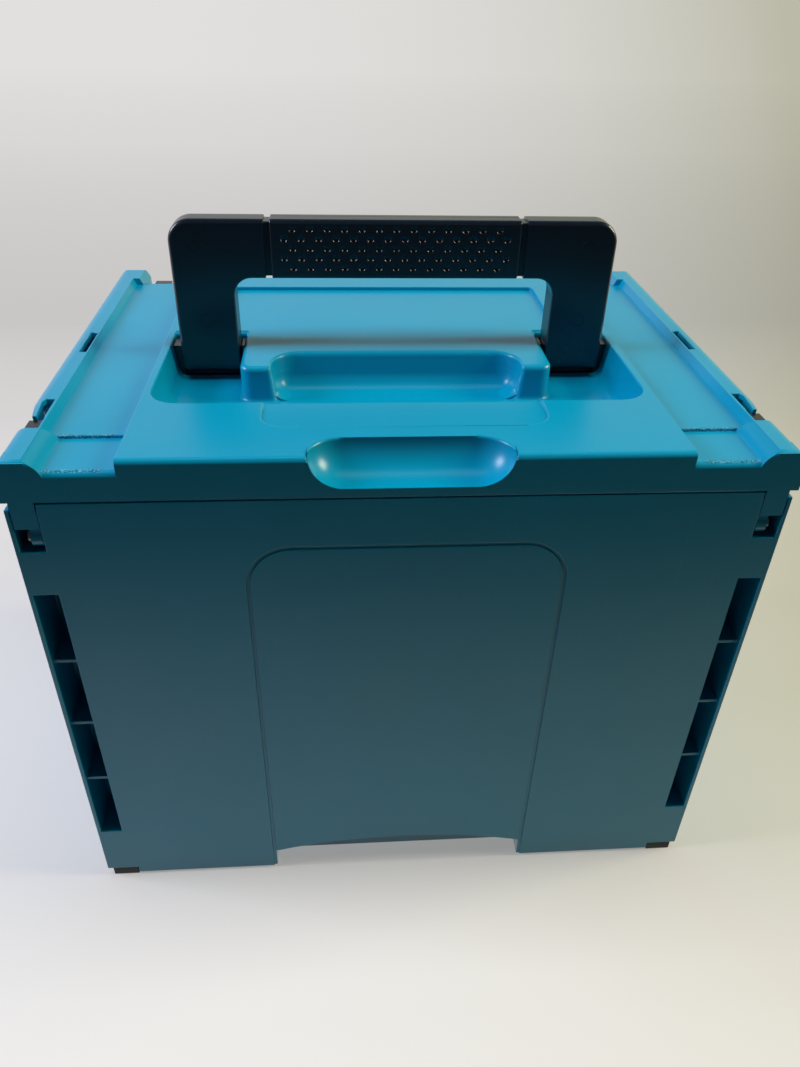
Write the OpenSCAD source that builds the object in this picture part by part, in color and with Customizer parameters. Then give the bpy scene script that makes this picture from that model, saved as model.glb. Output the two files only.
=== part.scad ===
// Stacking hard tool case: a deep tub, a hinged lid with a fold-down carrying
// handle, four hook latches and four foot pads. Millimetres, +Z up, the front
// faces -Y, the hinges are at +Y and the origin is on the floor under the centre.

/* [Case] */
// Width over the rear corner blocks of the lid
case_w = 396; // [370:1:430]
// Depth from front face to back face
case_d = 296; // [280:1:330]
// Height of the rear strip of the lid deck above the floor
stack_h = 315; // [312:1:400]
// Thickness of the tub and lid walls
wall = 3; // [2.5:0.1:3.5]
// Height of the lid from its bottom edge to the rear strip of its deck
lid_h = 16; // [15:0.5:18]
// Gap between the tub and the lid edge
part_gap = 1; // [0.95:0.05:1.3]
// Depth of the corner pillars, front to back
pillar_d = 34; // [30:1:40]
// Height of the body floor above the ground
floor_z = 10; // [8:0.5:14]

/* [Lid top] */
// Rise of the rims and the centre panel above the rear strip
rim_rise = 6.5; // [5.5:0.5:8]
// Rise of the textured deck above the rear strip
deck_rise = 1.8; // [1:0.1:3]
// Width of the side rims
rim_w = 16; // [15:0.5:17]
// Width of the raised centre panel
panel_w = 281; // [279:1:300]
// Radius of the outer top edge of the rims
rim_r = 8; // [5:0.5:9]
// Radius of the outer top edge of the rear corner blocks
corner_r = 12; // [8:1:13]
// Radius of the back top edge
back_r = 3; // [1:0.5:4]
// Run of the sloping front of the lid
slope_run = 22; // [18:1:26]

/* [Handle recess] */
// Width of the recess at the panel
recess_w = 272; // [271:1:274]
// Distance from the handle plane to the rear wall of the recess
recess_back = 86.5; // [86:0.5:95]
// Depth of the recess below the panel
recess_depth = 21.5; // [21:0.5:22]
// Width of the block between the two recess arms
block_w = 184; // [183:1:186]
// Distance from the handle plane to the rear face of the block
block_back = 41; // [36:1:46]
// Width of the finger bay in the block
bay_w = 148; // [120:1:160]
// Distance from the handle plane to the front wall of the finger bay
bay_front = 18; // [16:1:24]

/* [Handle] */
// Width of the handle over its arms
handle_w = 259; // [259:0.5:261]
// Rise of the handle top above the lid rims, upright
handle_rise = 74.5; // [72:0.5:74.5]
// Thickness of the handle, front to back
handle_t = 18; // [16:0.5:18]
// Width of each handle arm
arm_w = 35; // [33:0.5:35.5]
// Height of the grip bar
bar_h = 33; // [28:1:36]
// Width of the grip covers
grip_w = 144; // [120:1:160]
// Radius of the handle pins
handle_pin_r = 2.5; // [2:0.1:2.6]

/* [Hinges] */
// Distance of the hinge axis from the back face
hinge_in = 6; // [5.8:0.1:6.2]
// Distance of the hinge axis below the tub rim
hinge_drop = 21.2; // [20:0.2:24]
// Radius of the hinge pins
hinge_pin_r = 2.5; // [2:0.1:3]

/* [Latches] */
// Width of a latch lever
latch_w = 45.5; // [40:0.5:50]
// Width of the hook tongue
tongue_w = 12; // [10:0.5:13]
// Height from latch pin to tub rim
latch_h = 46; // [40:1:52]
// Distance of the front latch centres from the sides of the rear corner blocks
front_latch_in = 49.8; // [49:0.2:58]
// Distance of the side latch centres from the back face
side_latch_in = 57.8; // [57.6:0.2:64]
// Radius of the latch pins
latch_pin_r = 1.5; // [1:0.1:1.8]

/* [Feet] */
// Length of a foot pad, front to back
foot_l = 29; // [20:1:30]
// Width of a foot pad
foot_w = 16.6; // [12:0.2:17]
// Height of a foot pad
foot_h = 7.3; // [6:0.1:7.6]

/* [Hidden] */
$fn = 48;
hull_fn = 28;

// Clearances: pin in its running bore, pin in its seat, and moving faces
run_fit = 0.05;
seat_fit = 0.02;
gap = 0.3;
eps = 0.01;
over = 20;

// Main planes
hw = case_w / 2;
hd = case_d / 2;
body_in = 1.5;
rim_in = 1;
post_in = 4.4;
ladder_in = 3.8;
body_hw = hw - body_in;
rim_out = hw - rim_in;
tub_hw = rim_out - rim_w;
top_z = stack_h + rim_rise;
deck_z = stack_h + deck_rise;
lid_z = stack_h - lid_h;
tub_z = lid_z - part_gap;
post_out = hw - post_in;
plate_in = hw - ladder_in;
handle_top = top_z + handle_rise;
front_latch_x = hw - front_latch_in;
side_latch_y = hd - side_latch_in;

// Tub lip that locates the lid
lip_h = 2.2;
lip_t = 2.6;
lip_gap = 0.5;
lip_in = wall + lip_gap;
lip_root = 6;
lip_shelf = 3;
lip_clear = 1;

// Pillars, ladder pockets and base
pillar_z0 = foot_h;
pillar_drop = 3.2;
pillar_top = tub_z - pillar_drop;
ladder_z0 = 47;
ladder_drop = 55.2;
ladder_top = tub_z - ladder_drop;
ladder_depth = 26;
ladder_ribs = 3;
rib_t = 2.5;
rib_set = 3.3;
skirt_z = 2;
rail_h = 32;
rail_in = 3.5;
side_rib_pitch = 40;
side_rib_shift = 10;
side_rib_d = rim_w / 2;

// Raised border on the back and front faces, and the arch under the back face
border_w = 170;
border_top = 270;
border_r = 24;
border_t = 2;
border_depth = 0.8;
arch_w = 166;
arch_h = 28.6;
arch_side_h = 18;
arch_depth = 14;

// Lid hinge: posts on the lid stand in slots of the rear pillars
hinge_y = hd - hinge_in;
hinge_z = tub_z - hinge_drop;
post_d = 12;
post_neck = 7;
post_z = hinge_z + post_neck;
slot_z0 = hinge_z - post_neck;
slot_room = 2.5;
slot_d = post_d + slot_room;
eye_r = 5.5;
eye_w = 5.5;
boss_l = 5;
pin_seat = 6;
pin_head_r = 3.6;
pin_head_h = 1.7;

// Lid front slope, rim ends and inner faces
nose_rise = 7;
slope_z = lid_z + nose_rise;
rim_slope = 3;
rim_front_r = 5;
corner_in = 5.5;
corner_len = 24.5;
rear_block_len = 34.5;

// Handle recess
recess_z = top_z - recess_depth;
recess_draft = 3.5;
recess_r = 16;
recess_floor_r = 5;
block_r = 7;
block_draft = 0.5;
block_floor_r = 3;
bay_r = 17;
well_y0 = -14.4;
well_y1 = 1.2;
well_depth = 30;
well_z = top_z - well_depth;
dish_w = 150;
dish_back = 115;
dish_depth = 1;
badge_w = 217;
badge_y0 = -104.5;
badge_y1 = -24;
badge_depth = 2.5;

// Finger scoop in the back edge of the lid
scoop_r = 17.5;
scoop_in = 3;
scoop_half = 33;
scoop_wall = 2.6;

// Handle: the fold axis lies below the panel and a little in front of mid-thickness
fold_y = -3;
fold_drop = 8;
fold_z = top_z - fold_drop;
arm_out = handle_w / 2;
arm_in = arm_out - arm_w;
arm_near = handle_t / 2;
heel_r = 8.8;
heel_corner_r = 6;
handle_corner_r = 13;
window_r = 10.5;
bevel = 2.2;
far_bevel = 6;
arm_chamfer = 2.5;
core_inset = 4;
groove_w = 3.6;
groove_d = 1.4;
bearing_z0 = well_z;
bearing_base_t = 6;
cheek_t = 2.4;
cheek_rise = 5.6;
cheek_top = fold_z + cheek_rise;
cheek_gap = 0.3;
back_plate_t = 1.8;
screw_r = 1.6;
screw_head_r = 3.5;
screw_head_h = 2.4;
screw_l = 8;

// Latches, in a frame with x along the latch, y into the case and z up
latch_out = 1;
latch_t = 5.5;
latch_pin_in = 5;
latch_eye_r = 4;
latch_z = tub_z - latch_h;
tongue_y0 = 4;
tongue_y1 = 9.9;
nose_y1 = 11.9;
nose_h = 6.2;
side_tip_drop = 2;
front_tip_drop = 8;
side_tip_z = top_z - side_tip_drop;
front_tip_z = top_z - front_tip_drop;
lever_drop = 0.5;
tongue_root = 8;
finger_rib_t = 0.7;
finger_rib_w = 1.6;
finger_rib_pitch = 4;
finger_rib_in = 4;
finger_rib_drop = 6;
pocket_d = 12.5;
pocket_wall = 3.5;
housing_gap = 2;
housing_w = latch_w + 2 * gap + 2 * pocket_wall;
housing_d = pocket_d + pocket_wall;
latch_room_z = latch_z - latch_eye_r - housing_gap;
ledge_h = 7;
loop_drop = 10;
loop_z = top_z - loop_drop;
loop_len = 17;
loop_t = 2.1;
eye_len = 20;
eye_rib = 0.7;
taper_len = 34;
taper_deep = 6.4;
taper_mid = 2.6;
taper_end = 1;
rim_slot_l = 31;
rim_slot_w = 4;
pin_ear = 2.5;

// Foot pads
foot_in = 3.2;
foot_back = 0.4;
peg_r = 3;
peg_h = 4;

// ---------------------------------------------------------------- helpers

// Both halves of a pair, mirrored left to right
module pair() {
  children();
  mirror([1, 0, 0]) children();
}

// The half on the +X side, or its mirror image when side is -1
module on_side(side) {
  mirror([side < 0 ? 1 : 0, 0, 0]) children();
}

// Box from one corner to the opposite corner
module block(low, high) {
  translate(low) cube(high - low);
}

// Cylinder along X between two stations
module rod_x(x0, x1, y, z, r) {
  translate([x0, y, z]) rotate([0, 90, 0]) cylinder(r = r, h = x1 - x0);
}

// Rounded rectangle between two corners
module round_rect(x0, y0, x1, y1, r) {
  translate([x0 + r, y0]) square([x1 - x0 - 2 * r, y1 - y0]);
  translate([x0, y0 + r]) square([x1 - x0, y1 - y0 - 2 * r]);
  for (x = [x0 + r, x1 - r], y = [y0 + r, y1 - r]) translate([x, y]) circle(r);
}

// Extrusion of a depth-height section along X
module along_x(x0, x1) {
  translate([x0, 0, 0]) rotate([90, 0, 90]) linear_extrude(x1 - x0) children();
}

// Extrusion of a width-height section along Y
module along_y(y0, y1) {
  translate([0, y1, 0]) rotate([90, 0, 0]) linear_extrude(y1 - y0) children();
}

// ---------------------------------------------------------------- lid

// Height of the sloping front at a distance in from the front face
function slope_rise(z_top, inward) = slope_z + (z_top - slope_z) * inward / slope_run;

// Vertical thickness of the sloping front
function slope_t(z_top) = wall * norm([slope_run, z_top - slope_z]) / slope_run;

// Depth-height outline of the lid at one deck height
module deck_section(z_top) {
  polygon([[-hd, lid_z], [-hd, slope_z], [-hd + slope_run, z_top], [hd - back_r, z_top],
    [hd, z_top - back_r], [hd, lid_z]]);
  translate([hd - back_r, z_top - back_r]) circle(back_r);
}

// The same outline moved in by the wall
module deck_hollow(z_top) {
  z_in = z_top - wall;
  z_front = slope_rise(z_top, wall) - slope_t(z_top);
  run = (z_in - z_front) * slope_run / (z_top - slope_z);
  polygon([[-hd + wall, lid_z - over], [-hd + wall, z_front], [-hd + wall + run, z_in],
    [hd - wall, z_in], [hd - wall, lid_z - over]]);
}

// Depth-height outline of the full-height rims with rounded ends
module rim_ends() {
  polygon([[-hd, lid_z], [-hd, top_z - rim_front_r], [-hd + rim_front_r, top_z],
    [hd - back_r, top_z], [hd, top_z - back_r], [hd, lid_z]]);
  translate([-hd + rim_front_r, top_z - rim_front_r]) circle(rim_front_r);
  translate([hd - back_r, top_z - back_r]) circle(back_r);
}

// Width-height outline of a rim with a sloping inner face and a round outer top edge
module rim_section(x0, x1, r) {
  polygon([[x0, lid_z], [x0, stack_h], [x0 + rim_slope, top_z], [x1 - r, top_z],
    [x1, top_z - r], [x1, lid_z]]);
  translate([x1 - r, top_z - r]) circle(r);
}

// Hollow under a rim, as far behind its sloping face as a wall is thick
module rim_hollow() {
  polygon([[tub_hw, lid_z - over], [tub_hw, stack_h - wall], [tub_hw + rim_slope, top_z - wall],
    [rim_out - wall, top_z - wall], [rim_out - wall, lid_z - over]]);
}

module rims() {
  intersection() {
    along_x(-hw, hw) rim_ends();
    pair() {
      along_y(-hd, hd) rim_section(tub_hw - 1, rim_out, rim_r);
      along_y(-hd, -hd + corner_len) rim_section(tub_hw - corner_in, rim_out, rim_r);
      along_y(hd - rear_block_len, hd) rim_section(tub_hw - 1, hw, corner_r);
    }
  }
}

module lid_shell() {
  difference() {
    union() {
      along_x(-panel_w / 2, panel_w / 2) deck_section(top_z);
      along_x(-tub_hw, tub_hw) deck_section(stack_h);
      intersection() {
        along_x(-tub_hw, tub_hw) deck_section(deck_z);
        block([-hw, -hd, 0], [hw, hd - rear_block_len, top_z]);
      }
      rims();
    }
    along_x(-panel_w / 2 + wall, panel_w / 2 - wall) deck_hollow(top_z);
    along_x(-tub_hw + wall, tub_hw - wall) deck_hollow(stack_h);
    pair() along_y(-hd + wall, hd - wall) rim_hollow();
  }
}

// Tapered pocket with a round floor edge, cut down from the panel. Its front wall
// has a draft and a floor radius of its own
module pocket(half_w, y0, y1, r, front_draft, front_r) {
  side_in = recess_draft + recess_floor_r;
  hull() for (side = [-1, 1]) {
    for (y = [y0 + r, y1 - r])
      translate([side * (half_w - r), y, top_z]) cylinder(r = r, h = 1, $fn = hull_fn);
    translate([side * (half_w - side_in), y1 - side_in, recess_z + recess_floor_r])
      sphere(recess_floor_r, $fn = hull_fn);
    translate([side * (half_w - recess_draft - front_r), y0 + front_draft + front_r,
      recess_z + front_r]) sphere(front_r, $fn = hull_fn);
  }
}

// Arm pocket: round at the back, square where it runs into the well
module arm_pocket() {
  r = recess_r;
  side_in = recess_draft + recess_floor_r;
  hull() {
    for (x = [block_w / 2 + r, recess_w / 2 - r])
      translate([x, recess_back - r, top_z]) cylinder(r = r, h = 1, $fn = hull_fn);
    block([block_w / 2, well_y1 - 1, top_z], [recess_w / 2, well_y1, top_z + 1]);
    for (end = [[block_w / 2 + block_floor_r, block_floor_r], [recess_w / 2 - side_in, recess_floor_r]]) {
      translate([end[0], recess_back - side_in, recess_z + end[1]]) sphere(end[1], $fn = hull_fn);
      translate([end[0], well_y1, recess_z + end[1]])
        rotate([90, 0, 0]) cylinder(r = end[1], h = 1, $fn = hull_fn);
    }
  }
}

module recess_cut() {
  pocket(recess_w / 2, block_back, recess_back, recess_r, block_draft, block_floor_r);
  pocket(bay_w / 2, bay_front, recess_back, bay_r, recess_draft, recess_floor_r);
  pair() {
    arm_pocket();
    block([block_w / 2, well_y0, well_z], [recess_w / 2, well_y1, top_z + 1]);
    difference() {
      block([block_w / 2 - block_r, block_back - block_r, recess_z + block_floor_r],
        [block_w / 2 + eps, block_back + eps, top_z + 1]);
      translate([block_w / 2 - block_r, block_back - block_r, recess_z])
        cylinder(r = block_r, h = over * 2);
    }
  }
}

module recess_walls() {
  z0 = recess_z - wall;
  translate([0, 0, z0]) linear_extrude(top_z - 1 - z0) {
    round_rect(-recess_w / 2 - wall, block_back - wall, recess_w / 2 + wall, recess_back + wall,
      recess_r + wall);
    round_rect(-bay_w / 2 - wall, bay_front - wall, bay_w / 2 + wall, recess_back, bay_r + wall);
    pair() translate([block_w / 2 - wall, well_y0])
      square([recess_w / 2 - block_w / 2 + 2 * wall, recess_back - recess_r - well_y0]);
  }
  pair() block([block_w / 2 - wall, well_y0 - wall, well_z - wall],
    [recess_w / 2 + wall, well_y1 + wall, top_z - 1]);
}

// Round-ended trough along the back top edge
module scoop(r) {
  y = hd - scoop_in;
  rod_x(-scoop_half, scoop_half, y, top_z, r);
  pair() translate([scoop_half, y, top_z]) sphere(r);
}

module scoop_wall() {
  intersection() {
    scoop(scoop_r + scoop_wall);
    block([-hw, 0, lid_z + 1], [hw, hd - 1, top_z - 1]);
  }
}

// Notch for a latch hook, in the latch frame
module hook_notch(tip_z) {
  x0 = tongue_x() - tongue_w / 2 - gap;
  x1 = tongue_x() + tongue_w / 2 + gap;
  ledge_z = tip_z - nose_h - gap;
  block([x0, -over, lid_z - over], [x1, tongue_y1 + gap, top_z + 1]);
  block([x0, 0, ledge_z], [x1, nose_y1 + gap, top_z + 1]);
}

// Solid around a hook notch that carries the catch ledge, in the latch frame
module hook_catch(tip_z, depth) {
  x0 = tongue_x() - tongue_w / 2 - gap - wall;
  x1 = tongue_x() + tongue_w / 2 + gap + wall;
  ledge_z = tip_z - nose_h - gap;
  block([x0 + wall + 4, tongue_y1, ledge_z - ledge_h], [x1, depth, ledge_z]);
  block([x1 - wall, 0, lid_z], [x1, depth, ledge_z]);
}

function tongue_x() = (latch_w - tongue_w) / 2;

module lid_catches() {
  pair() {
    intersection() {
      at_rear() hook_catch(side_tip_z, body_hw - tub_hw + 1);
      block([0, -hd, lid_z], [rim_out - 1, hd, top_z - 1]);
    }
    intersection() {
      at_front() union() {
        hook_catch(front_tip_z, pocket_d + 1);
        block([tongue_x() - tongue_w / 2 - gap - wall, 0, lid_z],
          [tongue_x() + tongue_w / 2 + gap + wall, pocket_d + pocket_wall, front_tip_z]);
      }
      along_x(-hw, hw) deck_section(stack_h);
    }
    rim_loop();
  }
}

// Front side of the rear hook notch, where the taper of the rim starts
function notch_y() = side_latch_y + tongue_x() - tongue_w / 2 - gap;

// Thin band under the tapered edge of the rim, between the eye and the outside
module rim_loop() {
  translate([rim_out, notch_y(), loop_z]) linear_extrude(top_z - wall + 0.2 - loop_z)
    polygon([[-taper_deep - loop_t, 1], [1 - taper_deep, 1], [1 - taper_mid, -loop_len],
      [-taper_deep, -loop_len]]);
}

// Taper of the rim beside the rear hook, the room under it and the eye through it
module rim_eye() {
  eye_in = tub_hw - rim_out + wall + eye_rib;
  translate([rim_out, notch_y(), lid_z - 1]) {
    linear_extrude(over * 2) polygon([[-taper_deep, eps], [-taper_mid, -loop_len],
      [-taper_end, -taper_len], [over, -taper_len], [over, eps]]);
    linear_extrude(loop_z - lid_z + 1) translate([-wall - 1, -taper_len])
      square([over, taper_len + eps]);
    linear_extrude(over * 2) polygon([[eye_in, 0], [-taper_deep - loop_t, 0],
      [-taper_deep, -loop_len], [-taper_deep - 1.5, -eye_len], [eye_in, -eye_len]]);
  }
}

// Slot in the middle of each rim
module rim_slot() {
  translate([tub_hw + wall, -rim_slot_l / 2, top_z - over]) cube([rim_slot_w, rim_slot_l, over * 2]);
}

module hinge_posts() {
  pair() {
    block([tub_hw + 0.6, hd - post_d, post_z], [post_out, hd, top_z - 1]);
    block([tub_hw + 1, hinge_y - eye_r + 1, hinge_z], [tub_hw + 1 + eye_w, hinge_y + eye_r - 1, post_z + 1]);
    rod_x(tub_hw + 1, tub_hw + 1 + eye_w, hinge_y, hinge_z, eye_r);
  }
}

module lid() {
  color("#0f8fa3") difference() {
    union() {
      lid_shell();
      recess_walls();
      scoop_wall();
      lid_catches();
      hinge_posts();
    }
    recess_cut();
    scoop(scoop_r);
    translate([0, 0, top_z - badge_depth]) linear_extrude(over)
      round_rect(-badge_w / 2, badge_y0, badge_w / 2, badge_y1, 3);
    translate([0, 0, top_z - dish_depth]) linear_extrude(over)
      round_rect(-dish_w / 2, recess_back - wall, dish_w / 2, dish_back, 12);
    pair() {
      at_rear() hook_notch(side_tip_z);
      at_front() hook_notch(front_tip_z);
      rim_eye();
      rim_slot();
      rod_x(tub_hw - 1, hw, hinge_y, hinge_z, hinge_pin_r + run_fit);
      bearing_screw(run_fit);
    }
  }
}

// ---------------------------------------------------------------- body

// Places a latch frame on the rear part of the right-hand side face
module at_rear() {
  translate([body_hw, side_latch_y, 0]) rotate([0, 0, 90]) children();
}

// Places a latch frame on the right-hand part of the front face
module at_front() {
  translate([front_latch_x, -hd, 0]) children();
}

// Ladder pockets in one corner pillar, open towards +Y
module ladder() {
  pitch = (ladder_top - ladder_z0) / (ladder_ribs + 1);
  difference() {
    block([tub_hw, hd - ladder_depth, ladder_z0], [plate_in, hd + 1, ladder_top]);
    for (i = [1 : ladder_ribs])
      block([tub_hw - 1, 0, ladder_z0 + i * pitch - rib_t / 2],
        [plate_in + 1, hd - rib_set, ladder_z0 + i * pitch + rib_t / 2]);
  }
}

// Arched hollow under the back face, as a width-height outline
module arch(grow) {
  r = (pow(arch_w / 2, 2) + pow(arch_h - arch_side_h, 2)) / (2 * (arch_h - arch_side_h));
  intersection() {
    translate([0, arch_h - r]) circle(r + grow, $fn = 180);
    translate([-arch_w / 2 - grow, -over]) square([arch_w + 2 * grow, over + arch_h + grow]);
  }
}

// Border line that frames the middle of the back and front faces
module border() {
  difference() {
    round_rect(-border_w / 2, -over * 2, border_w / 2, border_top, border_r);
    round_rect(-border_w / 2 + border_t, -over * 2 - 1, border_w / 2 - border_t,
      border_top - border_t, border_r - border_t);
  }
}

// Housing wall around a latch pocket, in the latch frame
module latch_housing() {
  block([-housing_w / 2, 0, latch_room_z - pocket_wall], [housing_w / 2, housing_d, tub_z]);
}

// Room for a latch, its hook and its pin, in the latch frame
module latch_room() {
  x = latch_w / 2 + gap;
  block([-x, -over, latch_room_z], [x, pocket_d, tub_z + over]);
  translate([-x - pin_ear, latch_pin_in, latch_z]) rotate([0, 90, 0])
    cylinder(r = latch_pin_r + seat_fit, h = 2 * (x + pin_ear));
}

module tub() {
  difference() {
    block([-tub_hw, -hd, skirt_z], [tub_hw, hd, tub_z]);
    block([-tub_hw + wall, -hd + wall, floor_z + wall], [tub_hw - wall, hd - wall, tub_z + 1]);
    block([-tub_hw + wall, -hd + wall, 0], [tub_hw - wall, hd - wall, floor_z]);
  }
}

// Opening inside the lip
module lip_hole() {
  x = tub_hw - lip_in - lip_t;
  y = hd - lip_in - lip_t;
  block([-x, -y, tub_z - lip_root - 1], [x, y, tub_z + lip_h + 1]);
}

// Raised lip inside the rim of the tub
module lip() {
  difference() {
    block([-tub_hw + lip_in, -hd + lip_in, tub_z - lip_root], [tub_hw - lip_in, hd - lip_in, tub_z + lip_h]);
    lip_hole();
    pair() at_front() block([-housing_w / 2 - lip_clear, -1, tub_z],
      [housing_w / 2 + lip_clear, housing_d + lip_clear, tub_z + lip_h + 1]);
  }
  difference() {
    block([-tub_hw + wall, -hd + wall, tub_z - lip_root], [tub_hw - wall, hd - wall, tub_z - lip_shelf]);
    lip_hole();
  }
}

module side_frame() {
  for (y0 = [-hd, hd - pillar_d])
    block([tub_hw - 1, y0, pillar_z0], [body_hw, y0 + pillar_d, pillar_top]);
  block([tub_hw - 1, -hd + 1, pillar_z0], [body_hw - rail_in, hd - 1, pillar_z0 + rail_h]);
  block([tub_hw - 1, -hd + 1, pillar_top - rib_t], [body_hw - rail_in, hd - 1, pillar_top]);
  for (i = [-2 : 2]) {
    y = i * side_rib_pitch - side_rib_shift;
    block([tub_hw - 1, y - rib_t / 2, pillar_z0], [tub_hw + side_rib_d, y + rib_t / 2, pillar_top]);
  }
}

module foot_room() {
  for (y = [-1, 1])
    translate([0, y * (hd - foot_back - foot_l / 2), 0]) {
      block([body_hw - foot_in - foot_w - gap, -foot_l / 2 - gap, -1],
        [hw + 1, foot_l / 2 + gap + 1, foot_h]);
      translate([body_hw - foot_in - foot_w / 2, 0, 0]) cylinder(r = peg_r + seat_fit, h = foot_h + peg_h + gap);
    }
}

module body() {
  color("#14697a") difference() {
    union() {
      tub();
      lip();
      pair() {
        side_frame();
        at_front() latch_housing();
        intersection() {
          at_rear() latch_housing();
          block([tub_hw - 1, -hd, 0], [body_hw, hd, pillar_top]);
        }
        rod_x(tub_hw - wall - boss_l, tub_hw - 1, hinge_y, hinge_z, eye_r);
      }
      along_y(hd - arch_depth - wall, hd) intersection() {
        arch(wall);
        translate([-hw, skirt_z]) square([case_w, arch_h * 2]);
      }
    }
    along_y(hd - arch_depth, hd + 1) arch(0);
    along_y(hd - border_depth, hd + 1) border();
    along_y(-hd - 1, -hd + border_depth) border();
    pair() {
      ladder();
      mirror([0, 1, 0]) ladder();
      at_front() latch_room();
      at_rear() latch_room();
      foot_room();
      block([tub_hw + gap, hd - slot_d, slot_z0], [plate_in, hd + 1, tub_z + over]);
      rod_x(tub_hw - pin_seat, tub_hw + 1, hinge_y, hinge_z, hinge_pin_r + seat_fit);
    }
  }
}

// ---------------------------------------------------------------- handle

// Width-height outline of the handle
module handle_outline() {
  difference() {
    round_rect(-arm_out, fold_z - over - handle_corner_r, arm_out, handle_top, handle_corner_r);
    round_rect(-arm_in, fold_z - over * 2, arm_in, handle_top - bar_h, window_r);
  }
}

// Handle as a full-width bar in depth and height, with round heels at its foot
module handle_bar() {
  z_flat = fold_z - heel_r;
  y_near = arm_near - heel_corner_r;
  along_x(-arm_out, arm_out) polygon([[-arm_near, fold_z], [-arm_near, handle_top - far_bevel],
    [-arm_near + far_bevel, handle_top], [arm_near - bevel, handle_top], [arm_near, handle_top - bevel],
    [arm_near, z_flat + heel_corner_r], [y_near, z_flat + heel_corner_r], [y_near, z_flat],
    [fold_y, z_flat], [fold_y, fold_z]]);
  rod_x(-arm_out, arm_out, y_near, z_flat + heel_corner_r, heel_corner_r);
  intersection() {
    rod_x(-arm_out, arm_out, fold_y, fold_z, heel_r);
    block([-arm_out, -arm_near, z_flat], [arm_out, arm_near, fold_z + heel_r]);
  }
}

// Plan of the handle with chamfered outer corners
module arm_plan() {
  c = arm_chamfer;
  polygon([[-arm_out + c, -arm_near], [arm_out - c, -arm_near], [arm_out, -arm_near + c],
    [arm_out, arm_near - c], [arm_out - c, arm_near], [-arm_out + c, arm_near],
    [-arm_out, arm_near - c], [-arm_out, -arm_near + c]]);
}

// Room around a core that is set in from the bar on all four sides, within a half width
module around_core(half_w, inset) {
  difference() {
    block([-half_w, -handle_t, handle_top - bar_h - 1], [half_w, handle_t, handle_top + 1]);
    block([-half_w - 1, -arm_near + inset, handle_top - bar_h + inset],
      [half_w + 1, arm_near - inset, handle_top - inset]);
  }
}

module handle_frame() {
  color("#1b1c1e") difference() {
    intersection() {
      along_y(-arm_near, arm_near) handle_outline();
      handle_bar();
      linear_extrude(handle_top + 1) arm_plan();
    }
    around_core(grip_w / 2, core_inset);
    around_core(grip_w / 2 + groove_w, groove_d);
    pair() rod_x(arm_in - 1, arm_out + 1, fold_y, fold_z, handle_pin_r + run_fit);
  }
}

// One half of the grip: a channel over one face of the core, with a chamfered top edge
module grip_half(chamfer) {
  difference() {
    block([-grip_w / 2, 0, handle_top - bar_h], [grip_w / 2, arm_near, handle_top]);
    block([-grip_w, -1, handle_top - bar_h + core_inset],
      [grip_w, arm_near - core_inset, handle_top - core_inset]);
    translate([0, arm_near, handle_top]) rotate([45, 0, 0])
      cube([case_w, chamfer * sqrt(2), chamfer * sqrt(2)], center = true);
  }
}

module grip_back() {
  color("#232426") grip_half(bevel);
}

module grip_front() {
  color("#232426") mirror([0, 1, 0]) grip_half(far_bevel);
}

// Bearing insert of one handle arm: base, back plate and two cheeks
module handle_bearing(side) {
  x0 = block_w / 2 + cheek_gap;
  x1 = recess_w / 2 - cheek_gap;
  y0 = well_y0 + cheek_gap;
  y1 = well_y1 - cheek_gap;
  color("#1e1f21") on_side(side) difference() {
    union() {
      block([x0, y0, bearing_z0], [x1, y1, bearing_z0 + bearing_base_t]);
      block([x0, y0, bearing_z0], [x1, y0 + back_plate_t, cheek_top]);
      block([x0, y0, bearing_z0], [arm_in - gap, y1, cheek_top]);
      block([arm_out + gap, y0, bearing_z0], [x1, y1, cheek_top]);
    }
    rod_x(x0 - 1, x1 + 1, fold_y, fold_z, handle_pin_r + seat_fit);
    bearing_screw(0);
  }
}

module handle_pin(side) {
  color("silver") on_side(side)
    rod_x(block_w / 2 + 2 * cheek_gap, recess_w / 2 - 2 * cheek_gap, fold_y, fold_z, handle_pin_r);
}

// Screw that holds a bearing insert from below, grown by a clearance
module bearing_screw(clearance) {
  x = (arm_in + arm_out) / 2;
  y = (well_y0 + well_y1) / 2;
  z = well_z - wall;
  translate([x, y, z - screw_head_h]) {
    cylinder(r = screw_head_r, h = screw_head_h);
    cylinder(r = screw_r + clearance, h = screw_head_h + screw_l);
  }
}

module bearing_screws() {
  color("silver") pair() bearing_screw(0);
}

// ---------------------------------------------------------------- hinge pins

module hinge_pin(side) {
  x1 = tub_hw + 1 + eye_w + gap;
  color("#b8bcc0") on_side(side) {
    rod_x(tub_hw - pin_seat, x1, hinge_y, hinge_z, hinge_pin_r);
    rod_x(x1, x1 + pin_head_h, hinge_y, hinge_z, pin_head_r);
  }
}

// ---------------------------------------------------------------- latches

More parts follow.
